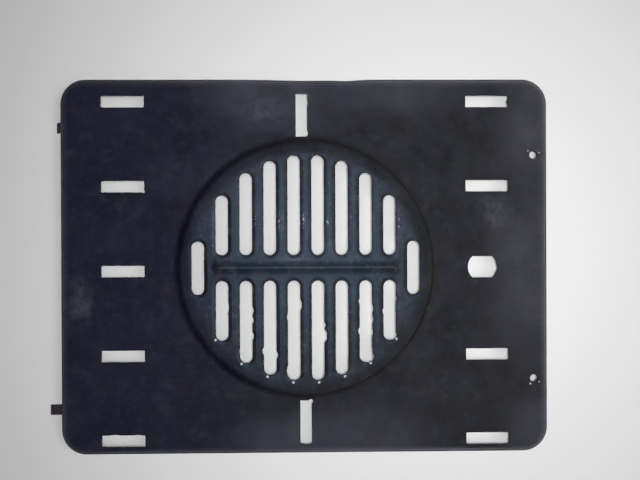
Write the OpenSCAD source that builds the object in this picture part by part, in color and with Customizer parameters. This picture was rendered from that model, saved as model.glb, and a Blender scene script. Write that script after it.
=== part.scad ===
// Fan cover panel for the back wall of an oven: a pressed sheet-steel tray with a raised
// round grille in its middle, air slots around it, and two hook tabs on its left flange.
// The panel lies face up. +X is right and +Y is up as it hangs in the oven, +Z points out
// of the front face, and z = 0 is the back edge of the flange. All sizes are millimetres.

/* [Panel] */
// Width over the flanges
panel_w = 411; // [406:1:430]
// Height over the flanges
panel_h = 316; // [314:1:330]
// Depth from the flange's back edge to the front face
panel_d = 12; // [10:0.5:20]
// Thickness of the sheet with its enamel
sheet_t = 1; // [0.8:0.1:1.2]
// Outside radius of the corners, seen from the front
corner_r = 21; // [12:1:24]
// Outside radius of the bend from the face to the flange
bend_r = 3.5; // [2.5:0.5:4]
// Height of the grille, the screws, the tabs and the shaped hole above the middle
centre_y = -1; // [-4:0.5:4]

/* [Grille] */
// How far the grille is to the right of the panel's middle
grille_x = 0.6; // [-3:0.1:3]
// Radius of the grille's flat floor
floor_r = 102; // [100:0.5:104]
// Radius where the shoulder around the floor meets the face
shoulder_r = 111.6; // [111:0.1:113]
// How far the floor stands in front of the face
raise = 5; // [3:0.5:6]
// Width of one slot, with round ends
slot_w = 10; // [8:0.5:11]
// Distance from one slot to the next
slot_pitch = 20; // [19:0.25:20]
// Radius of the circle that the outer ends' arc centres lie on
slot_reach = 89.3; // [86:0.1:91]
// Distance from the grille's middle line to the inner ends
slot_gap = 10.9; // [9:0.1:14]
// Length of the single slot at each side
side_slot_l = 44.3; // [36:0.1:50]
// Depth of the lip that is turned back around each slot
lip_d = 1; // [0.5:0.1:2]

/* [Bead] */
// Length of the pressed bead between its end centres
bead_l = 146; // [120:1:150]
// Width of the bead at the floor
bead_w = 9; // [6:0.5:10]
// Height of the bead above the floor
bead_h = 1.2; // [1:0.1:2.5]

/* [Air slots] */
// Length of a straight air slot
vent_l = 36; // [30:1:40]
// Width of a straight air slot
vent_w = 9.6; // [8:0.1:11]
// Place of the left column
left_x = -153; // [-160:1:-145]
// Place of the right column
right_x = 154; // [145:1:158]
// Distance from one slot of a column to the next
vent_pitch = 71.3; // [66:0.1:72]
// Height of the columns' middle slot
column_y = -3.7; // [-5:0.1:0]
// Place of the upright slot above the grille
top_x = -2.7; // [-20:0.1:20]
// Height of its middle
top_y = 127.5; // [127:0.1:134]
// Place of the upright slot below the grille
bottom_x = 0.3; // [-20:0.1:20]
// Depth of its middle below the panel's middle
bottom_y = 131.2; // [129:0.1:134]

/* [Shaped hole] */
// Place of the hole with two flats
keyed_x = 150; // [145:0.5:158]
// Diameter of its round sides
keyed_d = 24.5; // [20:0.5:28]
// Distance between its flats
keyed_h = 18; // [14:0.5:20]

/* [Fixing] */
// Distance from the right flange to the two screw holes
screw_inset = 12.2; // [10:0.1:16]
// Distance from one screw hole to the other
screw_pitch = 189; // [180:1:200]
// Diameter of the screw holes
screw_d = 6; // [4.5:0.1:7]
// Distance from one hook tab to the other
tab_pitch = 243; // [220:1:246]
// Width of a hook tab
tab_w = 9; // [7:0.5:12]
// How far the lower tab stands out of the flange
lower_reach = 13.5; // [9:0.5:20]
// How far the upper, bent tab stands out of the flange
upper_reach = 7; // [5:0.5:15]
// How far the tip of the upper tab is knocked down
upper_lean = 2; // [0:0.5:4]

/* [Hidden] */
$fn = 96;

shift_x = max(lower_reach, upper_reach) / 2;
screw_x = panel_w / 2 - screw_inset;
floor_z = panel_d + raise;
foot_top = panel_d - bend_r;
notch_play = 0.4;
panel_colour = [0.13, 0.13, 0.16];
tab_colour = [0.24, 0.21, 0.22];

// The shoulder is two equal arcs that meet halfway up it.
half_run = (shoulder_r - floor_r) / 2;
half_rise = raise / 2;
shoulder_arc = (half_run * half_run + half_rise * half_rise) / (2 * half_rise);
shoulder_angle = 2 * atan(half_rise / half_run);
wedge_l = 3 * shoulder_arc;

// The bead is a round bar's top, pressed through the floor.
bead_r = (bead_w * bead_w / 4 + bead_h * bead_h) / (2 * bead_h);
bead_z = floor_z + bead_h - bead_r;

// Four slots on each side of the grille's middle, above and below the bead.
slot_columns = [for (i = [-3.5:3.5]) i * slot_pitch];
function slot_end(x) = sqrt(slot_reach * slot_reach - x * x);

module rounded_outline(w, h, r) {
    square([w, h - 2 * r], center = true);
    square([w - 2 * r, h], center = true);
    for (x = [-1, 1], y = [-1, 1])
        translate([x * (w / 2 - r), y * (h / 2 - r)]) circle(r);
}

// An upright slot with round ends, from the arc centre at y0 to the one at y1.
module round_slot(w, y0, y1) {
    translate([-w / 2, y0]) square([w, y1 - y0]);
    for (y = [y0, y1]) translate([0, y]) circle(w / 2);
}

// Every grille slot, widened by grow on all sides.
module grille_slots(grow = 0) {
    w = slot_w + 2 * grow;
    for (x = slot_columns, side = [0, 180])
        rotate(side) translate([x, 0]) round_slot(w, slot_gap + slot_w / 2, slot_end(x));
    for (x = [-1, 1]) {
        half = (side_slot_l - slot_w) / 2;
        translate([x * 4.5 * slot_pitch, 0]) round_slot(w, -half, half);
    }
}

module air_slots() {
    for (i = [-2:2])
        translate([left_x, column_y + i * vent_pitch]) square([vent_l, vent_w], center = true);
    for (i = [-2, -1, 1, 2])
        translate([right_x, column_y + i * vent_pitch]) square([vent_l, vent_w], center = true);
    for (p = [[top_x, top_y], [bottom_x, -bottom_y]])
        translate(p) square([vent_w, vent_l], center = true);
}

module keyed_hole()
    translate([keyed_x, centre_y]) intersection() {
        circle(d = keyed_d);
        square([keyed_d, keyed_h], center = true);
    }

module screw_holes()
    for (y = [-1, 1])
        translate([screw_x, centre_y + y * screw_pitch / 2]) circle(d = screw_d);

// The flat front, with all of its openings.
module face()
    translate([0, 0, panel_d - sheet_t]) linear_extrude(sheet_t) difference() {
        rounded_outline(panel_w - 2 * bend_r, panel_h - 2 * bend_r, corner_r - bend_r);
        translate([grille_x, centre_y]) circle(shoulder_r);
        air_slots();
        keyed_hole();
        screw_holes();
    }

module bend_section()
    intersection() {
        difference() {
            circle(bend_r);
            circle(bend_r - sheet_t);
        }
        square(bend_r);
    }

// The rounded edge, as four straight stretches and four corners.
module bend() {
    z = panel_d - bend_r;
    for (turn = [0:3]) {
        flat = turn % 2 == 0;
        half = (flat ? panel_w : panel_h) / 2;
        straight = (flat ? panel_h : panel_w) - 2 * corner_r;
        rotate(90 * turn) translate([half - bend_r, 0, z])
            rotate([90, 0, 0]) linear_extrude(straight, center = true) bend_section();
        corner = [half - corner_r, straight / 2, z];
        rotate(90 * turn) translate(corner)
            rotate_extrude(angle = 90) translate([corner_r - bend_r, 0]) bend_section();
    }
}

module flange()
    difference() {
        linear_extrude(panel_d - bend_r) difference() {
            rounded_outline(panel_w, panel_h, corner_r);
            rounded_outline(panel_w - 2 * sheet_t, panel_h - 2 * sheet_t, corner_r - sheet_t);
        }
        tab_notches();
    }

// The gaps in the flange's back edge that the tabs come out of.
module tab_notches()
    for (y = [-1, 1])
        translate([-panel_w / 2, centre_y + y * tab_pitch / 2, 0])
            cube([4 * sheet_t, tab_w + 2 * notch_play, 2 * (sheet_t + notch_play)], center = true);

// One arc of the shoulder's section: a band of sheet, swept by the shoulder's angle.
module shoulder_band(inner, start)
    intersection() {
        difference() {
            circle(inner + sheet_t);
            circle(inner);
        }
        polygon([
            [0, 0],
            wedge_l * [cos(start), sin(start)],
            wedge_l * [cos(start + shoulder_angle), sin(start + shoulder_angle)],
        ]);
    }

// The shoulder is one round pressing. The upright slots may run into its foot.
module shoulder()
    difference() {
        rotate_extrude() {
            translate([floor_r, floor_z - shoulder_arc])
                shoulder_band(shoulder_arc - sheet_t, 90 - shoulder_angle);
            translate([shoulder_r, panel_d + shoulder_arc])
                shoulder_band(shoulder_arc, 270 - shoulder_angle);
        }
        translate([-grille_x, -centre_y, panel_d - 2 * sheet_t])
            linear_extrude(4 * sheet_t) air_slots();
    }

module bead_bar(r) {
    translate([0, 0, bead_z]) rotate([0, 90, 0]) cylinder(r = r, h = bead_l, center = true);
    for (x = [-1, 1]) translate([x * bead_l / 2, 0, bead_z]) sphere(r);
}

module grille_floor()
    difference() {
        union() {
            translate([0, 0, floor_z - sheet_t]) linear_extrude(sheet_t) difference() {
                circle(floor_r);
                grille_slots();
            }
            intersection() {
                bead_bar(bead_r);
                translate([0, 0, floor_z + bead_r - sheet_t / 2])
                    cube([2 * floor_r, 2 * bead_w, 2 * bead_r], center = true);
            }
        }
        bead_bar(bead_r - sheet_t);
    }

// The turned-back lips around the grille slots.
module slot_lips()
    translate([0, 0, floor_z - sheet_t - lip_d]) linear_extrude(lip_d) difference() {
        grille_slots(sheet_t);
        grille_slots();
    }

module panel()
    color(panel_colour) translate([shift_x, 0, 0]) {
        face();
        bend();
        flange();
        translate([grille_x, centre_y, 0]) {
            shoulder();
            grille_floor();
            slot_lips();
        }
    }

// A strip with its foot against the inside of the flange and its tongue under it.
module hook_tab(y, reach, lean)
    color(tab_colour) translate([shift_x - panel_w / 2 + sheet_t, y, 0]) {
        tip = -sheet_t - reach;
        linear_extrude(sheet_t) polygon([
            [0, tab_w / 2],
            [tip, tab_w / 2 - lean],
            [tip, -tab_w / 2 - lean],
            [0, -tab_w / 2],
        ]);
        translate([0, -tab_w / 2, 0]) cube([sheet_t, tab_w, foot_top]);
    }

module hook_tab_upper() hook_tab(centre_y + tab_pitch / 2, upper_reach, upper_lean);
module hook_tab_lower() hook_tab(centre_y - tab_pitch / 2, lower_reach, 0);

panel();
hook_tab_upper();
hook_tab_lower();
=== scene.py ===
"""The looks of the oven fan cover panel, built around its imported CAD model. Units are metres."""

import math

import bmesh
import bpy
import numpy as np
from mathutils import Euler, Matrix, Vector
from mathutils.geometry import delaunay_2d_cdt


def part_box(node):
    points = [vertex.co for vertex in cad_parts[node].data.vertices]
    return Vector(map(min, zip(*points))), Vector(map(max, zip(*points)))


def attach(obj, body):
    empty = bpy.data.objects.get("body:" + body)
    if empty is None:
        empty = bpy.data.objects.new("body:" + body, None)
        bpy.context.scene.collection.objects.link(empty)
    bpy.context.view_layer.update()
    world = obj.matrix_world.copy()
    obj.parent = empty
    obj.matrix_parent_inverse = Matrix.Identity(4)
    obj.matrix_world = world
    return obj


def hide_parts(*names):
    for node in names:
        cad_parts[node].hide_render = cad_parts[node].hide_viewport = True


MM = 0.001
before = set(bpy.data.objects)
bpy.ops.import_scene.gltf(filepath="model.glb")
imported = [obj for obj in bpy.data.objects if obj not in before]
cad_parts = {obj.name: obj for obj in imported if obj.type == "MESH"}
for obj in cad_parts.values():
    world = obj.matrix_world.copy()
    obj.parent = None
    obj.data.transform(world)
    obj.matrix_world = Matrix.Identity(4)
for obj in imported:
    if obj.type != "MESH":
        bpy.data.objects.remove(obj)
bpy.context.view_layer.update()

# ---------------------------------------------------------------- driving dimensions
panel_low, panel_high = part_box("panel")
PANEL_X = (panel_low.x + panel_high.x) / 2
PANEL_Y = (panel_low.y + panel_high.y) / 2
PANEL_W = panel_high.x - panel_low.x
PANEL_H = panel_high.y - panel_low.y
SHEET = 1.0 * MM
RIM = SHEET / 2
BEND = 3.5 * MM
CORNER = 21.0 * MM

RAISE = 5.0 * MM
BEAD_H = 1.2 * MM
FACE_Z = panel_high.z - RAISE - BEAD_H
FLOOR_R = 102.0 * MM
SHOULDER_R = 111.6 * MM
MIDDLE_Y = -1.0 * MM
GRILLE_X = 0.6 * MM

# The bead: half its length before its ends fade out over a stretch, how wide its crest is
# above and below its middle line, and how far out its foot reaches.
BEAD_HALF_L = 73.0 * MM
BEAD_FADE = 5.0 * MM
BEAD_ABOVE = 3.9 * MM
BEAD_BELOW = 2.7 * MM
BEAD_FOOT = 10.0 * MM

SLOT_COLUMNS = 8
SLOT_W = 10.0 * MM
SLOT_PITCH = 20.0 * MM
SLOT_REACH = 89.3 * MM
SLOT_GAP = 10.9 * MM
SIDE_SLOT_L = 44.3 * MM
# A slot's lip slopes down over its width, and rolls over at a radius next to the hole.
LIP_W = 3.0 * MM
LIP_SLOPE = 0.13
LIP_BLEND = 0.3 * MM
LIP_ROLL = 0.8 * MM
LIP_ROLL_R = 0.75 * MM

VENT_L = 36.0 * MM
VENT_W = 9.6 * MM
VENT_PITCH = 71.3 * MM
COLUMN_Y = -3.7 * MM
LEFT_X = -153.0 * MM
RIGHT_X = 154.0 * MM
TOP_VENT = (-2.7 * MM, 127.5 * MM)
BOTTOM_VENT = (0.3 * MM, -131.2 * MM)
PUNCH_CORNER = 0.7 * MM
PUNCH_ROLL = 0.9 * MM
PUNCH_ROLL_R = 2.0 * MM

KEYED_X = 150.0 * MM
KEYED_D = 24.5 * MM
KEYED_H = 18.0 * MM
SCREW_X = PANEL_W / 2 - 12.2 * MM
SCREW_PITCH = 189.0 * MM
SCREW_D = 6.0 * MM
TAB_PITCH = 243.0 * MM
TAB_W = 9.0 * MM
TAB_BEND_R = 1.1 * MM
UPPER_TAB_LEAN = -2.0 * MM

# How far into the sheet a bite in an edge still shows, and how fast the edge wear fades.
BITE_REACH = 4.2 * MM
WEAR_FADE = 0.5 * MM

# Bites out of the grille's lower slots, by column from the left: the side of the slot
# (-1 left, 1 right), the height of the bite's middle from the grille's centre, half its
# length and its depth, all in millimetres.
SLOT_BITES = {
    0: [(1, -32.8, 3.5, 0.6)],
    1: [(1, -35.6, 3.1, 1.2), (1, -43.6, 2.7, 1.0), (1, -56.8, 3.5, 1.2)],
    2: [(-1, -69.4, 3.2, 1.3), (1, -72.6, 2.9, 1.3)],
    3: [(1, -31.1, 4.6, 1.3), (-1, -41.0, 2.9, 0.8), (-1, -86.0, 4.5, 0.9)],
    4: [(1, -48.0, 2.3, 1.2), (1, -56.8, 5.2, 2.3)],
    6: [(-1, -28.2, 1.8, 0.8), (-1, -53.0, 2.6, 1.3), (1, -34.3, 3.2, 1.0),
        (1, -43.4, 4.0, 0.8), (1, -54.4, 2.3, 0.8), (1, -76.0, 5.0, 1.5)],
    7: [(1, -25.8, 1.8, 0.8), (1, -58.5, 3.5, 1.1), (-1, -36.3, 2.3, 0.9)],
}
# Chips off the edges of the punched holes, in millimetres: place from the panel's middle,
# half length and depth. The one with a depth below zero is a blob of enamel.
HOLE_CHIPS = [
    (2.1, 138.0, 1.8, 0.5), (2.1, 112.6, 2.6, 1.0), (4.6, -113.6, 2.4, 1.1), (0.5, -149.2, 3.6, 1.0),
    (-135.3, 63.2, 1.6, 0.7), (-160.0, -141.5, 4.0, 0.6), (-141.0, -141.5, 3.0, 0.4),
    (162.2, -2.5, 2.2, 0.7), (172.0, 138.6, 2.0, -0.8),
]
# Knocks in the top edge, in millimetres: place, half width and depth.
TOP_DENTS = [(2.0, 34.0, 0.9), (36.0, 11.0, 0.8)]
# Bright chips in the enamel, in millimetres: place from the panel's middle and radius. A painted
# glint lies below each lower slot of the grille, at the distance below from the grille's centre.
CHIPS = [
    (188.9, 97.0, 0.6), (198.2, 95.4, 0.6), (190.4, -100.2, 0.8), (197.9, -98.6, 0.6),
]
GLINT_R = 96.2
RUST_SPECKS = [(107.0, -2.6, 1.0), (103.4, -35.4, 0.9)]
# Painted highlight streaks down the bars between the upper slots, in millimetres: place, half
# width and half length.
HIGHLIGHT_STREAKS = [
    (-41.4, 38.0, 0.5, 5.0), (-21.6, 40.0, 0.9, 8.0), (-1.4, 38.5, 0.7, 6.5), (18.8, 41.0, 1.0, 8.0),
    (38.4, 37.0, 0.5, 6.0), (78.6, 38.0, 0.5, 9.0),
]


# ---------------------------------------------------------------- outlines and heights
class Opening:
    """A hole in the sheet: points round its edge, the outward normal at each, and its lip."""

    def __init__(self, points, normals, steps, fall):
        self.points = np.array(points)
        self.normals = np.array(normals)
        self.steps = steps
        self.fall = fall
        self.bite = np.zeros(len(points))

    def ring(self, distance):
        """The edge moved outwards by distance, and by what the bites leave of themselves there."""
        fade = max(0.0, 1 - distance / BITE_REACH)
        return self.points + self.normals * (distance + self.bite * fade)[:, None]


def round_fall(distance, start, radius):
    """How far an edge that rolls over at a radius has dropped at a distance from the hole."""
    over = max(0.0, start - distance)
    return radius - math.sqrt(radius**2 - over**2)


def lip_fall(distance):
    """The grille slots' lips: a straight shallow slope, blended in, then a tight roll."""
    into = LIP_W - distance
    if into <= LIP_BLEND:
        into = max(0.0, into + LIP_BLEND) ** 2 / (4 * LIP_BLEND)
    return LIP_SLOPE * into + round_fall(distance, LIP_ROLL, LIP_ROLL_R)


def punch_fall(distance):
    """The punched holes' edges: a small roll."""
    return round_fall(distance, PUNCH_ROLL, PUNCH_ROLL_R)


def rounded_outline(cx, cy, half_w, half_h, radius, step, corner_steps):
    """Points and outward normals, anticlockwise from the right side's lower end."""
    points, normals = [], []
    for quarter in range(4):
        turn = quarter * math.pi / 2
        c, s = math.cos(turn), math.sin(turn)
        a, b = (half_w, half_h) if quarter % 2 == 0 else (half_h, half_w)
        straight = 2 * (b - radius)
        count = max(1, round(straight / step)) if straight > 1e-9 else 0
        local = [((a, -b + radius + straight * i / count), (1, 0)) for i in range(count)]
        for i in range(corner_steps):
            t = math.pi / 2 * i / corner_steps
            n = (math.cos(t), math.sin(t))
            local.append(((a - radius + radius * n[0], b - radius + radius * n[1]), n))
        for p, n in local:
            points.append((cx + p[0] * c - p[1] * s, cy + p[0] * s + p[1] * c))
            normals.append((n[0] * c - n[1] * s, n[0] * s + n[1] * c))
    return points, normals


def keyed_outline(cx, cy, diameter, height, step):
    """A round hole with a flat at its top and bottom."""
    r, half = diameter / 2, height / 2
    corner = math.asin(half / r)
    arc_steps = round(2 * corner * r / step)
    flat_steps = round(2 * r * math.cos(corner) / step)
    points, normals = [], []
    for side in (0, 1):
        flip = 1 - 2 * side
        for i in range(arc_steps + 1):
            t = -corner + 2 * corner * i / arc_steps
            points.append((cx + flip * r * math.cos(t), cy + flip * r * math.sin(t)))
            normals.append((flip * math.cos(t), flip * math.sin(t)))
        for i in range(1, flat_steps):
            x = r * math.cos(corner) * (1 - 2 * i / flat_steps)
            points.append((cx + flip * x, cy + flip * half))
            normals.append((0, flip))
    return points, normals


def shoulder_height(r):
    """Height above the face at r from the grille's centre: two equal arcs make the shoulder."""
    run, rise = (SHOULDER_R - FLOOR_R) / 2, RAISE / 2
    arc = (run**2 + rise**2) / (2 * rise)
    inner = np.clip(r - FLOOR_R, 0, run)
    outer = np.clip(SHOULDER_R - r, 0, run)
    high = RAISE - (arc - np.sqrt(arc**2 - inner**2))
    low = arc - np.sqrt(arc**2 - outer**2)
    return np.where(r < FLOOR_R + run, high, low)


def bead_height(x, y):
    """Height of the bead above the grille's floor, x and y from the grille's centre: a narrow
    round crest that runs out into the floor, more steeply below it, faded out at its ends."""
    crest = 1 / (1 + (y / np.where(y < 0, BEAD_BELOW, BEAD_ABOVE)) ** 2)
    foot = 1 - np.clip(y / BEAD_FOOT, -1, 1) ** 2
    along = np.clip((np.abs(x) - BEAD_HALF_L) / BEAD_FADE, 0, 1)
    return BEAD_H * crest * foot * (0.5 + 0.5 * np.cos(math.pi * along))


def surface_height(p):
    """Height of the pressed sheet's front at points p, before the rolls round its openings."""
    x, y = p[:, 0] - GRILLE_X, p[:, 1] - MIDDLE_Y
    return FACE_Z + shoulder_height(np.hypot(x, y)) + bead_height(x, y)


# ---------------------------------------------------------------- the panel's openings
# Where the rings of points around a hole lie, in millimetres from its edge.
LIP_STEPS = (0.5, 0.65, 0.82, 1.0, 1.4, 2.0, 2.6, 2.85, 3.1, 3.35, 3.8)
PUNCH_STEPS = (0.5, 0.75, 1.0, 1.35, 1.9, 2.8)


def slot_columns():
    """The distance of each column of slots from the grille's middle."""
    return [(column - (SLOT_COLUMNS - 1) / 2) * SLOT_PITCH for column in range(SLOT_COLUMNS)]


def round_slot(cx, y0, y1):
    """A grille slot whose end arcs have their centres at y0 and y1."""
    half = (y1 - y0) / 2 + SLOT_W / 2
    outline = rounded_outline(cx, (y0 + y1) / 2, SLOT_W / 2, half, SLOT_W / 2, 0.9 * MM, 9)
    return Opening(*outline, LIP_STEPS, lip_fall)


def bite_into(opening, x, y, half, depth):
    """Bites a blunt, slightly ragged bump out of the edge around one of its points."""
    away = np.hypot(opening.points[:, 0] - x, opening.points[:, 1] - y) / half
    bump = np.clip(1 - away**2, 0, 1) ** 0.7
    ragged = 1 + 0.18 * np.sin(away * 7 + y / MM)
    opening.bite += bump * ragged * depth


def grille_slots():
    """Eight slots above the bead, eight bitten ones below it, and one at each side."""
    slots = []
    for column, x in enumerate(slot_columns()):
        cx = GRILLE_X + x
        near, far = SLOT_GAP + SLOT_W / 2, math.sqrt(SLOT_REACH**2 - x**2)
        slots.append(round_slot(cx, MIDDLE_Y + near, MIDDLE_Y + far))
        lower = round_slot(cx, MIDDLE_Y - far, MIDDLE_Y - near)
        for side, y, half, depth in SLOT_BITES.get(column, []):
            place = (cx + side * SLOT_W / 2, MIDDLE_Y + y * MM)
            bite_into(lower, *place, half * MM, depth * MM)
        slots.append(lower)
    for side in (-1, 1):
        half = (SIDE_SLOT_L - SLOT_W) / 2
        cx = GRILLE_X + side * (SLOT_COLUMNS + 1) / 2 * SLOT_PITCH
        slots.append(round_slot(cx, MIDDLE_Y - half, MIDDLE_Y + half))
    return slots


def punched(points, normals):
    return Opening(points, normals, PUNCH_STEPS, punch_fall)


def vent(cx, cy, half_w, half_h):
    return punched(*rounded_outline(cx, cy, half_w, half_h, PUNCH_CORNER, 1.2 * MM, 4))


def punched_holes():
    """The air slots, the hole with two flats and the screw holes, with their chips."""
    flat, upright = (VENT_L / 2, VENT_W / 2), (VENT_W / 2, VENT_L / 2)
    holes = [vent(LEFT_X, COLUMN_Y + i * VENT_PITCH, *flat) for i in range(-2, 3)]
    holes += [vent(RIGHT_X, COLUMN_Y + i * VENT_PITCH, *flat) for i in (-2, -1, 1, 2)]
    holes += [vent(*place, *upright) for place in (TOP_VENT, BOTTOM_VENT)]
    holes.append(punched(*keyed_outline(KEYED_X, MIDDLE_Y, KEYED_D, KEYED_H, 1.0 * MM)))
    radius = SCREW_D / 2
    for side in (-1, 1):
        cy = MIDDLE_Y + side * SCREW_PITCH / 2
        holes.append(punched(*rounded_outline(SCREW_X, cy, radius, radius, radius, 1, 9)))
    for x, y, half, depth in HOLE_CHIPS:
        for hole in holes:
            bite_into(hole, x * MM, y * MM, half * MM, depth * MM)
    return holes


# ---------------------------------------------------------------- the panel's mesh
def hex_grid(half_w, half_h, pitch):
    """Points on a triangular grid, which makes even triangles."""
    rows = np.arange(-half_h, half_h, pitch * math.sqrt(3) / 2)
    points = []
    for i, y in enumerate(rows):
        xs = np.arange(-half_w + (i % 2) * pitch / 2, half_w, pitch)
        points.append(np.stack([xs, np.full(len(xs), y)], 1))
    return np.concatenate(points)


def keep_clear(points, taken, gap):
    """Drops each point that lies closer than gap to any taken point, on a hashed grid."""
    cells = {}
    for x, y in taken:
        cells.setdefault((int(x // gap), int(y // gap)), []).append((x, y))
    kept = []
    for x, y in points:
        i, j = int(x // gap), int(y // gap)
        near = (q for di in (-1, 0, 1) for dj in (-1, 0, 1) for q in cells.get((i + di, j + dj), ()))
        if all((x - a) ** 2 + (y - b) ** 2 > gap * gap for a, b in near):
            kept.append((x, y))
    return np.array(kept)


def inside_any(points, openings, margin):
    """Which points lie in an opening or within margin of its edge, by winding number."""
    hit = np.zeros(len(points), bool)
    for opening in openings:
        loop = opening.ring(margin)
        low, high = loop.min(0), loop.max(0)
        near = np.where(((points > low) & (points < high)).all(1))[0]
        a = loop[None] - points[near][:, None]
        b = np.roll(a, -1, axis=1)
        cross = a[..., 0] * b[..., 1] - a[..., 1] * b[..., 0]
        turn = np.arctan2(cross, (a * b).sum(-1)).sum(1)
        hit[near[np.abs(turn) > math.pi]] = True
    return hit


def face_border():
    """The line where the flat face meets the bend, with the top edge knocked in a little."""
    points, normals = rounded_outline(
        0, 0, PANEL_W / 2 - BEND, PANEL_H / 2 - BEND, CORNER - BEND, 1.6 * MM, 18)
    points, normals = np.array(points), np.array(normals)
    at_top = points[:, 1] > 0
    for place, half, depth in TOP_DENTS:
        dent = depth * np.exp(-(((points[:, 0] / MM - place) / half) ** 2))
        points[:, 1] -= np.where(at_top, dent, 0) * MM
    return points, normals


def clear_of_border(points):
    """Which points lie well inside the face's border, round corners included."""
    size = np.array([PANEL_W / 2, PANEL_H / 2])
    inner = (np.abs(points) < size - BEND - 2 * MM).all(1)
    over = np.maximum(np.abs(points) - (size - CORNER), 0)
    return inner & (np.hypot(over[:, 0], over[:, 1]) < CORNER - BEND - 1.5 * MM)


def from_grille(points):
    """How far each point is from the grille's centre."""
    return np.hypot(points[:, 0] - GRILLE_X, points[:, 1] - MIDDLE_Y)


def shaped_points():
    """Rings of points over the shoulder and rows of them along the bead."""
    turn = np.linspace(0, 2 * math.pi, 420, endpoint=False)
    radii = np.linspace(FLOOR_R - 1.2 * MM, SHOULDER_R + 1.2 * MM, 15)
    parts = [r * np.stack([np.cos(turn), np.sin(turn)], 1) for r in radii]
    along = np.arange(-60, 61) * (BEAD_HALF_L + BEAD_FADE + 1 * MM) / 60
    for row in range(-8, 9):
        parts.append(np.stack([along, np.full(len(along), 0.75 * MM * row)], 1))
    return np.concatenate(parts) + [GRILLE_X, MIDDLE_Y]


def fill_points():
    """A fine grid of points on the grille's floor and a coarse one on the face."""
    fine = hex_grid(FLOOR_R, FLOOR_R, 1.7 * MM) + [GRILLE_X, MIDDLE_Y]
    fine = fine[from_grille(fine) < FLOOR_R - 1.8 * MM]
    coarse = hex_grid(PANEL_W / 2, PANEL_H / 2, 3.4 * MM)
    coarse = coarse[(from_grille(coarse) > SHOULDER_R + 2 * MM) & clear_of_border(coarse)]
    return np.concatenate([fine, coarse])


def flat_points(openings):
    """All points of the sheet's face in plan, with how far each is turned down by a lip, how
    worn it is as part of an edge, and the loop of points along each opening."""
    border, _ = face_border()
    parts, falls, wear = [border], [np.zeros(len(border))], [np.zeros(len(border))]
    loops = []
    start = len(border)
    for opening in openings:
        loops.append(list(range(start, start + len(opening.points))))
        for step in opening.steps:
            ring = opening.ring(step * MM)
            parts.append(ring)
            falls.append(np.full(len(ring), opening.fall(step * MM)))
            wear.append(np.full(len(ring), math.exp(-step * MM / WEAR_FADE)))
            start += len(ring)
    shaped = shaped_points()
    parts.append(shaped[~inside_any(shaped, openings, 4.4 * MM)])
    fill = fill_points()
    fill = fill[~inside_any(fill, openings, 3.9 * MM)]
    parts.append(keep_clear(fill, np.concatenate(parts), 1.0 * MM))
    plan = np.concatenate(parts)
    plain = np.zeros(len(plan) - start)
    return plan, np.concatenate([*falls, plain]), np.concatenate([*wear, plain]), loops


def triangulate(points, border_count, loops):
    """Triangles of the face, without those inside the openings, as indices into points."""
    edges = [(i, (i + 1) % border_count) for i in range(border_count)]
    _, _, faces, origins, _, owners = delaunay_2d_cdt(
        [Vector(p) for p in points], edges, loops, 0, 1e-7, True)
    back = [origin[0] for origin in origins]
    return [[back[v] for v in face] for face, owner in zip(faces, owners) if not owner]


def flange_foot(y, on_left):
    """Height of the flange's lower edge: it lifts over each tab's tongue."""
    notch, lift, ramp = 4.9 * MM, 1.4 * MM, 0.4 * MM
    raised = np.zeros(len(y))
    for side in (-1, 1):
        away = np.abs(y - MIDDLE_Y - side * TAB_PITCH / 2)
        raised = np.maximum(raised, np.clip((notch + ramp - away) / ramp, 0, 1))
    return RIM + np.where(on_left, raised * lift, 0)


def bend_highlight(turn):
    """How much painted highlight the bend gets at an angle round it: most near its start."""
    most, spread = 0.28, 0.27
    return np.exp(-(((turn - most) / spread) ** 2))


BEND_STEPS = 9
WALL_STEPS = 6
RIM_STEPS = 5


def wall_rings(border, normals):
    """Rings of points round the bend and down the flange, and how much painted highlight each ring
    gets.
    """
    rings, highlights = [], []
    for k in range(1, BEND_STEPS + 1):
        turn = math.pi / 2 * k / BEND_STEPS
        z = np.full(len(border), FACE_Z - BEND * (1 - math.cos(turn)))
        rings.append(np.column_stack([border + normals * BEND * math.sin(turn), z]))
        highlights.append(bend_highlight(turn))
    wall = border + normals * BEND
    foot = flange_foot(wall[:, 1], normals[:, 0] < -0.99)
    for k in range(1, WALL_STEPS + 1):
        z = FACE_Z - BEND - (FACE_Z - BEND - foot) * k / WALL_STEPS
        rings.append(np.column_stack([wall, z]))
        highlights.append(bend_highlight(math.pi / 2))
    return rings, highlights


def band(a, b):
    """The faces between two closed rings of vertices."""
    count = len(a)
    return [[a[i], b[i], b[(i + 1) % count], a[(i + 1) % count]] for i in range(count)]


def rim_ways(openings, hem_count):
    """Which way the sheet's rim bulges along each edge: into the holes, and down at the hem."""
    ways = [np.column_stack([-o.normals, np.zeros(len(o.normals))]) for o in openings]
    return ways + [np.tile([0.0, 0.0, -1.0], (hem_count, 1))]


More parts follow.
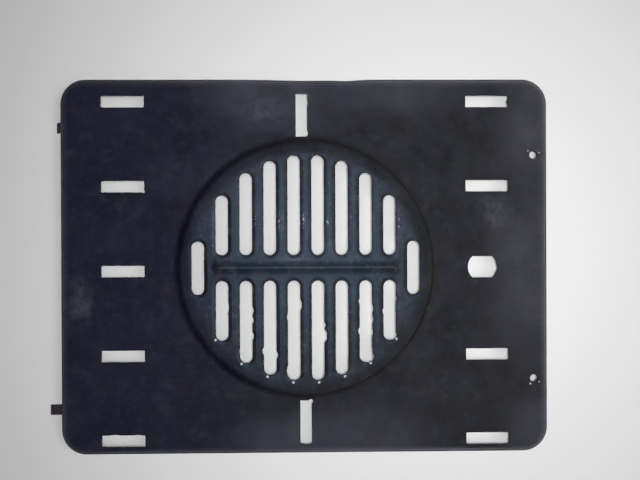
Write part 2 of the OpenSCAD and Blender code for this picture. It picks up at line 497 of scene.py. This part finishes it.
def build_front():
    """The sheet's front: vertices, faces, two masks on the vertices, the loops of vertices
    along the openings and the hem, and which way the rim bulges along each loop."""
    openings = grille_slots() + punched_holes()
    plan, falls, wear, loops = flat_points(openings)
    border, normals = face_border()
    count = len(border)
    faces = triangulate(plan, count, loops)
    rings, highlights = wall_rings(border, normals)
    hem = list(range(count))
    for k in range(len(rings)):
        start = len(plan) + k * count
        ring = list(range(start, start + count))
        faces += band(hem, ring)
        hem = ring
    vertices = np.concatenate([np.column_stack([plan, surface_height(plan) - falls]), *rings])
    wear = np.concatenate([wear, np.zeros(count * len(rings))])
    highlight = np.concatenate([np.full(count, bend_highlight(0.0)), np.zeros(len(plan) - count)])
    highlight = np.concatenate([highlight, np.repeat(highlights, count)])

    used = sorted({v for face in faces for v in face})
    new = {v: i for i, v in enumerate(used)}
    faces = [[new[v] for v in face] for face in faces]
    loops = [[new[v] for v in loop] for loop in [*loops, hem]]
    return vertices[used], faces, (wear[used], highlight[used]), loops, rim_ways(openings, count)


def mesh_from(name, vertices, faces):
    mesh = bpy.data.meshes.new(name)
    mesh.from_pydata([tuple(v) for v in vertices], [], faces)
    mesh.update()
    return mesh


def vertex_normals(vertices, faces):
    mesh = mesh_from("scratch", vertices, faces)
    normals = np.zeros(len(vertices) * 3, np.float32)
    mesh.vertex_normals.foreach_get("vector", normals)
    bpy.data.meshes.remove(mesh)
    return normals.reshape(-1, 3).astype(float)


def smooth_object(mesh):
    """Turns the mesh's faces outwards, shades it smooth and puts it in the scene."""
    work = bmesh.new()
    work.from_mesh(mesh)
    bmesh.ops.recalc_face_normals(work, faces=work.faces)
    work.to_mesh(mesh)
    work.free()
    mesh.shade_smooth()
    piece = bpy.data.objects.new(mesh.name, mesh)
    bpy.context.scene.collection.objects.link(piece)
    return piece


def rim_rings(points, normals, way):
    """Rings of points round an edge of the sheet, from its front to its back."""
    way = way - (way * normals).sum(1)[:, None] * normals
    way /= np.linalg.norm(way, axis=1)[:, None]
    rings = []
    for k in range(1, RIM_STEPS):
        turn = math.pi * k / RIM_STEPS
        bulge = RIM * (math.cos(turn) * normals + math.sin(turn) * way)
        rings.append(points - normals * RIM + bulge)
    return rings


def build_panel():
    """The whole sheet: front, back, and a round rim along every edge."""
    front, faces, (wear, highlight), loops, ways = build_front()
    normals = vertex_normals(front, faces)
    if normals[0, 2] < 0:
        normals = -normals
        faces = [face[::-1] for face in faces]
    count = len(front)
    vertices = [front, front - normals * SHEET]
    wears, highlights = [wear, wear], [highlight, np.zeros(count)]
    faces += [[v + count for v in reversed(face)] for face in faces]
    start = 2 * count
    for loop, way in zip(loops, ways):
        previous = loop
        for ring in rim_rings(front[loop], normals[loop], way):
            vertices.append(ring)
            wears.append(np.ones(len(loop)))
            highlights.append(np.zeros(len(loop)))
            current = list(range(start, start + len(loop)))
            faces += band(previous, current)
            previous = current
            start += len(loop)
        faces += band(previous, [v + count for v in loop])
    mesh = mesh_from("panel_sheet", np.concatenate(vertices) + [PANEL_X, PANEL_Y, 0], faces)
    # The second mask is a painted highlight along the bend.
    for name, values in (("edge_wear", wears), ("bend_highlight", highlights)):
        layer = mesh.attributes.new(name, "FLOAT", "POINT")
        layer.data.foreach_set("value", np.concatenate(values).astype(np.float32))
    return smooth_object(mesh)


# ---------------------------------------------------------------- the hook tabs
def strip(name, path, width, lean, thickness):
    """A bent metal strip with rounded edges along path, points (x, z), and lean in Y at each."""
    path = np.array(path)
    tangent = np.gradient(path, axis=0)
    tangent /= np.linalg.norm(tangent, axis=1)[:, None]
    side = np.stack([-tangent[:, 1], tangent[:, 0]], 1)
    outline, _ = rounded_outline(
        0, 0, width / 2, thickness / 2, 0.38 * thickness, width / 6, 4)
    vertices, rings = [], []
    for k, (p, s) in enumerate(zip(path, side)):
        end = 0.35 * thickness if k in (0, len(path) - 1) else 0
        rings.append(list(range(len(vertices), len(vertices) + len(outline))))
        for u, v in outline:
            shrink_u = u * (1 - 2 * end / width)
            shrink_v = v * (1 - 2 * end / thickness)
            vertices.append((p[0] + s[0] * shrink_v, lean[k] + shrink_u, p[1] + s[1] * shrink_v))
    faces = [face for a, b in zip(rings, rings[1:]) for face in band(a, b)]
    faces += [rings[0], rings[-1][::-1]]
    return smooth_object(mesh_from(name, vertices, faces))


def hook_tab(node, lean_at_tip):
    """The strip that stands for a CAD tab: foot up inside the flange, tongue out under it."""
    low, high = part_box(node)
    x_foot, z_mid = high.x - SHEET / 2, SHEET / 2
    y = high.y - TAB_W / 2
    root = x_foot - TAB_BEND_R
    tip = low.x + 0.05 * MM
    heights = (high.z - 0.05 * MM, high.z - 0.5 * MM, high.z - 2 * MM, z_mid + TAB_BEND_R + 0.5 * MM)
    path = [(x_foot, z) for z in heights]
    for k in range(7):
        turn = math.pi / 2 * k / 6
        path.append((root + TAB_BEND_R * math.cos(turn),
                     z_mid + TAB_BEND_R - TAB_BEND_R * math.sin(turn)))
    path += [(x, z_mid) for x in np.linspace(root - 1 * MM, tip + 0.45 * MM, 6)]
    path.append((tip, z_mid))
    lean = [y + lean_at_tip * max(0, (root - x) / (root - tip)) for x, _ in path]
    return strip(node + "_strip", path, TAB_W, lean, SHEET)


# ---------------------------------------------------------------- materials
def add(tree, kind, **settings):
    """A new node, with its properties set by name and its inputs by number, as in_0."""
    node = tree.nodes.new(kind)
    for key, value in settings.items():
        if key.startswith("in_"):
            node.inputs[int(key[3:])].default_value = value
        else:
            setattr(node, key, value)
    return node


class Shader:
    """Short names for the nodes that the materials here are made of."""

    def __init__(self, name):
        self.material = bpy.data.materials.new(name)
        self.material.use_nodes = True
        self.tree = self.material.node_tree
        self.tree.nodes.clear()
        self.surface = add(self.tree, "ShaderNodeBsdfPrincipled")
        output = add(self.tree, "ShaderNodeOutputMaterial")
        self.link(self.surface.outputs[0], output.inputs[0])
        self.place = add(self.tree, "ShaderNodeTexCoord").outputs["Object"]

    def link(self, a, b):
        self.tree.links.new(a, b)

    def put(self, value, socket):
        """Feeds a socket from another one, or sets it to a value."""
        if isinstance(value, bpy.types.NodeSocket):
            self.link(value, socket)
        else:
            socket.default_value = value

    def noise(self, size, detail=3.0, rough=0.55, seed=0.0):
        """Noise whose features are about size metres across."""
        n = add(self.tree, "ShaderNodeTexNoise", noise_dimensions="4D")
        n.inputs["W"].default_value = seed
        self.link(self.place, n.inputs["Vector"])
        n.inputs["Scale"].default_value = 0.5 / size
        n.inputs["Detail"].default_value = detail
        n.inputs["Roughness"].default_value = rough
        return n.outputs[0]

    def span(self, value, low, high, to_low=0.0, to_high=1.0):
        """Maps low..high to to_low..to_high, smoothly, and holds it there outside."""
        n = add(self.tree, "ShaderNodeMapRange", interpolation_type="SMOOTHSTEP")
        self.put(value, n.inputs[0])
        for i, v in enumerate((low, high, to_low, to_high)):
            n.inputs[i + 1].default_value = v
        return n.outputs[0]

    def math(self, operation, a, b=0.0):
        n = add(self.tree, "ShaderNodeMath", operation=operation)
        self.put(a, n.inputs[0])
        self.put(b, n.inputs[1])
        return n.outputs[0]

    def mix(self, share, a, b):
        n = add(self.tree, "ShaderNodeMix", data_type="RGBA")
        self.put(share, n.inputs[0])
        self.put(a if isinstance(a, bpy.types.NodeSocket) else (*a, 1), n.inputs[6])
        self.put(b if isinstance(b, bpy.types.NodeSocket) else (*b, 1), n.inputs[7])
        return n.outputs[2]

    def mix_value(self, share, a, b):
        n = add(self.tree, "ShaderNodeMix", data_type="FLOAT")
        self.put(share, n.inputs[0])
        self.put(a, n.inputs[2])
        self.put(b, n.inputs[3])
        return n.outputs[0]

    def across(self):
        """How far to the right a point lies."""
        split = add(self.tree, "ShaderNodeSeparateXYZ")
        self.link(self.place, split.inputs[0])
        return split.outputs[0]

    def distance(self, x, y, stretch=(1, 1)):
        """Distance in plan from a point of the panel, given from the panel's centre."""
        moved = add(self.tree, "ShaderNodeVectorMath", operation="SUBTRACT")
        self.link(self.place, moved.inputs[0])
        moved.inputs[1].default_value = (PANEL_X + x, PANEL_Y + y, 0)
        flat = add(self.tree, "ShaderNodeVectorMath", operation="MULTIPLY")
        self.link(moved.outputs[0], flat.inputs[0])
        flat.inputs[1].default_value = (stretch[0], stretch[1], 0)
        length = add(self.tree, "ShaderNodeVectorMath", operation="LENGTH")
        self.link(flat.outputs[0], length.inputs[0])
        return length.outputs["Value"]

    def attribute(self, name):
        return add(self.tree, "ShaderNodeAttribute", attribute_name=name).outputs["Fac"]

    def bump(self, height, strength, distance, below=None):
        n = add(self.tree, "ShaderNodeBump")
        n.inputs["Strength"].default_value = strength
        n.inputs["Distance"].default_value = distance
        self.link(height, n.inputs["Height"])
        if below is not None:
            self.link(below, n.inputs["Normal"])
        return n.outputs[0]


# Small patches in the enamel: size in metres, the noise's detail, roughness and seed, the
# noise levels where a patch starts and is full, and its colour (teal, brown, grey, blue-grey).
MOTTLES = [
    (0.0080, 5, 0.65, 3.1, (0.48, 0.68), (0.0080, 0.0230, 0.0300)),
    (0.0070, 5, 0.65, 7.7, (0.48, 0.68), (0.0240, 0.0185, 0.0225)),
    (0.0026, 4, 0.70, 1.3, (0.52, 0.72), (0.0420, 0.0430, 0.0530)),
    (0.0065, 5, 0.70, 6.1, (0.50, 0.70), (0.0330, 0.0400, 0.0480)),
]
# Clouds of painted reflection, lighter grey at the top, bottom and right of the face, and
# scuffed patches, in millimetres: place, size and stretch.
PAINTED_REFLECTION_CLOUDS = [
    (-22, 145, 67, (0.7, 1.5)), (25, -150, 71, (0.6, 1.7)), (75, 165, 66, (0.6, 1.3)),
    (200, 125, 65, (1.2, 0.8)), (196, 0, 50, (0.9, 0.45)), (206, -140, 46, (1.0, 1.0)),
]
SCUFFS = [(-188, -28, 22, (1.4, 0.7)), (-33, 131, 28, (1.0, 1.3)), (160, 46, 22, (1.1, 0.9))]


def enamel():
    """Black vitreous enamel: matt and greasy on the face, glossier in the grille's dish."""
    s = Shader("black_enamel")
    dish = s.span(s.distance(GRILLE_X, MIDDLE_Y), FLOOR_R - 1 * MM, FLOOR_R - 12 * MM)
    colour = mottles(s, ground_colour(s), dish)
    colour = marks_and_glints(s, wear_and_bend_highlight(s, colour))
    s.put(colour, s.surface.inputs["Base Color"])
    face_rough = s.span(s.noise(0.012, 5, 0.6, 5.0), 0.38, 0.62, 0.40, 0.60)
    dish_rough = s.span(s.noise(0.010, 4, 0.6, 9.0), 0.42, 0.72, 0.09, 0.17)
    s.put(s.mix_value(dish, face_rough, dish_rough), s.surface.inputs["Roughness"])
    peel = s.bump(s.noise(0.0022, 2), 0.20, 0.0002)
    lumps = s.bump(s.noise(0.012, 3), 0.30, 0.0006, peel)
    s.put(lumps, s.surface.inputs["Normal"])
    return s.material


def ground_colour(s):
    """The enamel's near-black, violet at the left and brown at the right, with painted shade that
    darkens the left, clouds of painted reflection that grey the top, bottom and right, and teal
    around the grille's middle that is partly a painted reflection of the glow above."""
    clouds = s.span(s.noise(0.026, 5, 0.6), 0.36, 0.66)
    violet = s.mix(clouds, (0.0020, 0.0012, 0.0080), (0.0060, 0.0045, 0.0130))
    brown = s.mix(clouds, (0.0045, 0.0035, 0.0035), (0.0100, 0.0085, 0.0090))
    # Darker towards the left: painted shade; the violet and brown are the enamel's tint.
    colour = s.mix(s.span(s.across(), -190 * MM, 60 * MM), violet, brown)
    # Lighter grey clouds at the top, bottom and right of the face: painted reflection of the
    # brighter room.
    patchy = s.span(s.noise(0.018, 5, 0.6), 0.28, 0.72, 0.30, 0.85)
    painted_reflection = s.math("MULTIPLY", cloud_mask(s, PAINTED_REFLECTION_CLOUDS, 8), patchy)
    colour = s.mix(painted_reflection, colour, (0.050, 0.048, 0.061))
    # Teal round the grille's middle: partly the enamel's tint, partly a painted reflection of the
    # bluish glow above.
    middle = s.span(s.distance(GRILLE_X, 12 * MM, (0.85, 1.0)), 95 * MM, 25 * MM)
    return s.mix(s.math("MULTIPLY", middle, 0.7), colour, (0.0060, 0.0155, 0.0210))


def mottles(s, colour, dish):
    """The small patches, which are strong in the dish and faint on the face."""
    strength = s.mix_value(dish, 0.22, 0.75)
    for size, detail, rough, seed, levels, tint in MOTTLES:
        patch = s.span(s.noise(size, detail, rough, seed), *levels)
        colour = s.mix(s.math("MULTIPLY", patch, strength), colour, tint)
    return colour


def wear_and_bend_highlight(s, colour):
    """The scuffs on the face, the worn edges of the sheet and the painted highlight along the bend.
    """
    patchy = s.span(s.noise(0.0050, 5, 0.7), 0.36, 0.66, 0, 0.62)
    scuffs = s.math("MULTIPLY", cloud_mask(s, SCUFFS, 2), patchy)
    colour = s.mix(scuffs, colour, (0.070, 0.068, 0.084))
    wear = s.math("MULTIPLY", s.attribute("edge_wear"), s.span(s.noise(0.003, 3), 0.50, 0.62))
    colour = s.mix(s.math("MULTIPLY", wear, 0.25), colour, (0.050, 0.046, 0.050))
    # Painted highlight: the lighter line where the bend mirrors the bright floor.
    return s.mix(painted_bend_highlight(s), colour, (0.105, 0.102, 0.118))


def marks_and_glints(s, colour):
    """The bright chips and the painted glints below the lower slots, the rust specks and the painted
    highlight streaks down the bars.
    """
    # Real chips and the painted glints below the lower slots share one light colour.
    colour = s.mix(spots(s, CHIPS + glints_below_slots()), colour, (0.50, 0.51, 0.54))
    colour = s.mix(spots(s, RUST_SPECKS), colour, (0.060, 0.024, 0.018))
    # Painted highlight streaks, broken up by fine noise.
    broken = s.span(s.noise(0.0011, 2, 0.6, 2.2), 0.50, 0.62)
    highlight_streaks = s.math("MULTIPLY", spots(s, HIGHLIGHT_STREAKS), broken)
    return s.mix(highlight_streaks, colour, (0.30, 0.33, 0.37))


def glints_below_slots():
    """A painted glint below the outer end of each lower slot, given as in CHIPS."""
    turns = [math.asin(x / SLOT_REACH) for x in slot_columns()]
    x, y = GRILLE_X / MM, MIDDLE_Y / MM
    return [(x + GLINT_R * math.sin(turn), y - GLINT_R * math.cos(turn), 1.05) for turn in turns]


def spots(s, places):
    """A mask of small soft-edged spots, given in millimetres from the panel's middle. A fourth
    number makes a spot a streak of that half length along Y."""
    mask = 0.0
    for x, y, radius, *length in places:
        stretch = (1, radius / length[0]) if length else (1, 1)
        away = s.distance(x * MM, y * MM, stretch)
        mask = s.math("MAXIMUM", mask, s.span(away, 1.3 * radius * MM, 0.5 * radius * MM))
    return mask


def cloud_mask(s, clouds, core):
    """A mask of big soft clouds, each full within core millimetres of its middle."""
    mask = 0.0
    for x, y, size, stretch in clouds:
        cloud = s.span(s.distance(x * MM, y * MM, stretch), size * MM, core * MM)
        mask = s.math("MAXIMUM", mask, cloud)
    return mask


def painted_bend_highlight(s):
    """A painted highlight along the bend, where it mirrors the bright floor: faint on the left,
    where the floor lies in shade.
    """
    less_left = s.span(s.across(), -200 * MM, 100 * MM, 0.55, 1.0)
    patchy = s.span(s.noise(0.020, 4, 0.6, 4.0), 0.35, 0.62, 0.6, 1.0)
    return s.math("MULTIPLY", s.math("MULTIPLY", s.attribute("bend_highlight"), less_left), patchy)


def worn_steel():
    """Tab steel: enamel burnt and worn through to brown, heat-tinted metal."""
    s = Shader("worn_tab_steel")
    bare = s.span(s.noise(0.004, 4, 0.6), 0.42, 0.60)
    colour = s.mix(bare, (0.020, 0.020, 0.026), (0.062, 0.040, 0.042))
    s.put(colour, s.surface.inputs["Base Color"])
    s.put(s.span(s.noise(0.003, 3), 0.3, 0.7, 0.42, 0.65), s.surface.inputs["Roughness"])
    s.put(s.math("MULTIPLY", bare, 0.5), s.surface.inputs["Metallic"])
    s.put(s.bump(s.noise(0.0015, 3), 0.4, 0.0002), s.surface.inputs["Normal"])
    return s.material


def paper_white():
    """The floor's matt white."""
    s = Shader("stage_white")
    tint = s.span(s.noise(0.25, 2), 0.3, 0.7)
    s.put(s.mix(tint, (0.80, 0.80, 0.80), (0.83, 0.83, 0.83)), s.surface.inputs["Base Color"])
    s.surface.inputs["Roughness"].default_value = 0.95
    return s.material


# ---------------------------------------------------------------- build the pieces
def finish_piece(piece, material, node):
    piece.data.materials.clear()
    piece.data.materials.append(material)
    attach(piece, "root")
    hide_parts(node)


panel = build_panel()
finish_piece(panel, enamel(), "panel")
tab_steel = worn_steel()
for node, lean_at_tip in (("hook_tab_upper", UPPER_TAB_LEAN), ("hook_tab_lower", 0.0)):
    finish_piece(hook_tab(node, lean_at_tip), tab_steel, node)

# ---------------------------------------------------------------- stage, light and camera
bpy.ops.mesh.primitive_plane_add(size=8, location=(0, 0, 0))
floor = bpy.context.object
floor.name = "stage_floor"
floor.data.materials.append(paper_white())


CAMERA = Vector((PANEL_X + 6.1 * MM, PANEL_Y + 23.4 * MM, FACE_Z + 467 * MM))
CAMERA_TURN = (-0.147, -0.789, -0.237)
CAMERA_ANGLE = 60


def area_light(name, place, aim, size, power, shines_in_gloss=False):
    """A soft lamp. Most of them light the scene but don't show as a mirror image in the gloss."""
    data = bpy.data.lights.new(name, "AREA")
    data.shape = "ELLIPSE"
    data.size, data.size_y = size
    data.energy = power
    lamp = bpy.data.objects.new(name, data)
    lamp.location = place
    lamp.rotation_euler = (Vector(aim) - Vector(place)).to_track_quat("-Z", "Y").to_euler()
    lamp.visible_glossy = shines_in_gloss
    lamp.visible_diffuse = not shines_in_gloss
    bpy.context.scene.collection.objects.link(lamp)
    return lamp


def ramp_node(tree, source, stops):
    """A smooth colour ramp through stops of (place, brightness or colour), in rising order."""
    node = add(tree, "ShaderNodeValToRGB")
    tree.links.new(source, node.inputs[0])
    ramp = node.color_ramp
    ramp.interpolation = "B_SPLINE"
    for i, (place, value) in enumerate(stops):
        element = ramp.elements[i] if i < 2 else ramp.elements.new(place)
        element.position = place
        element.color = (*value, 1) if isinstance(value, tuple) else (value, value, value, 1)
    return node.outputs[0]


def studio_world():
    """What the gloss mirrors: a dim room, violet at the left and light grey at the right, with
    a small bluish glow straight above. The colours here are a quarter of their strength."""
    world = bpy.data.worlds.new("studio")
    world.use_nodes = True
    tree = world.node_tree
    split = add(tree, "ShaderNodeSeparateXYZ")
    tree.links.new(add(tree, "ShaderNodeTexCoord").outputs["Generated"], split.inputs[0])
    across = add(tree, "ShaderNodeMath", operation="MULTIPLY_ADD", in_1=0.5, in_2=0.5)
    tree.links.new(split.outputs[0], across.inputs[0])
    sides = ramp_node(tree, across.outputs[0], (
        (0.00, (0.10, 0.08, 0.16)), (0.40, (0.10, 0.08, 0.16)), (0.46, (0.38, 0.43, 0.62)),
        (0.62, (0.46, 0.48, 0.60)), (0.76, (0.80, 0.78, 0.82)), (1.00, (0.80, 0.78, 0.82))))
    rise = ramp_node(tree, split.outputs[2], (
        (0.00, 0.12), (0.35, 0.18), (0.60, 0.14), (0.80, 0.12), (0.92, 0.14), (1.00, 0.14)))
    walls = add(tree, "ShaderNodeMix", data_type="RGBA", blend_type="MULTIPLY", in_0=1.0)
    tree.links.new(sides, walls.inputs[6])
    tree.links.new(rise, walls.inputs[7])
    glow = ramp_node(tree, split.outputs[2], (
        (0.00, (0, 0, 0)), (0.925, (0, 0, 0)), (0.972, (0.065, 0.085, 0.125)),
        (1.00, (0.25, 0.32, 0.46))))
    total = add(tree, "ShaderNodeMix", data_type="RGBA", blend_type="ADD", in_0=1.0)
    tree.links.new(walls.outputs[2], total.inputs[6])
    tree.links.new(glow, total.inputs[7])
    background = tree.nodes["Background"]
    tree.links.new(total.outputs[2], background.inputs["Color"])
    background.inputs["Strength"].default_value = 4
    world.cycles_visibility.diffuse = False
    bpy.context.scene.world = world


MIDDLE = (0, 0, 0)
key_place = (CAMERA.x + 20 * MM, CAMERA.y, 560 * MM)
area_light("key", key_place, (0.30, -0.03, 0), (0.10, 0.10), 2.85)
area_light("ceiling", (0, 0, 3.2), MIDDLE, (7, 7), 22)
area_light("window", (1.70, -0.05, 2.00), MIDDLE, (1.1, 1.4), 15)
beside_lens = CAMERA + Vector((-31, 31, 0)) * MM
area_light("lens_lamp", beside_lens, MIDDLE, (0.030, 0.030), 0.003, shines_in_gloss=True)
studio_world()

bpy.context.scene.view_settings.view_transform = "Standard"

camera_data = bpy.data.cameras.new("camera")
camera_data.angle = math.radians(CAMERA_ANGLE)
camera = bpy.data.objects.new("camera", camera_data)
camera.location = CAMERA
camera.rotation_euler = Euler([math.radians(a) for a in CAMERA_TURN])
bpy.context.scene.collection.objects.link(camera)
bpy.context.scene.camera = camera
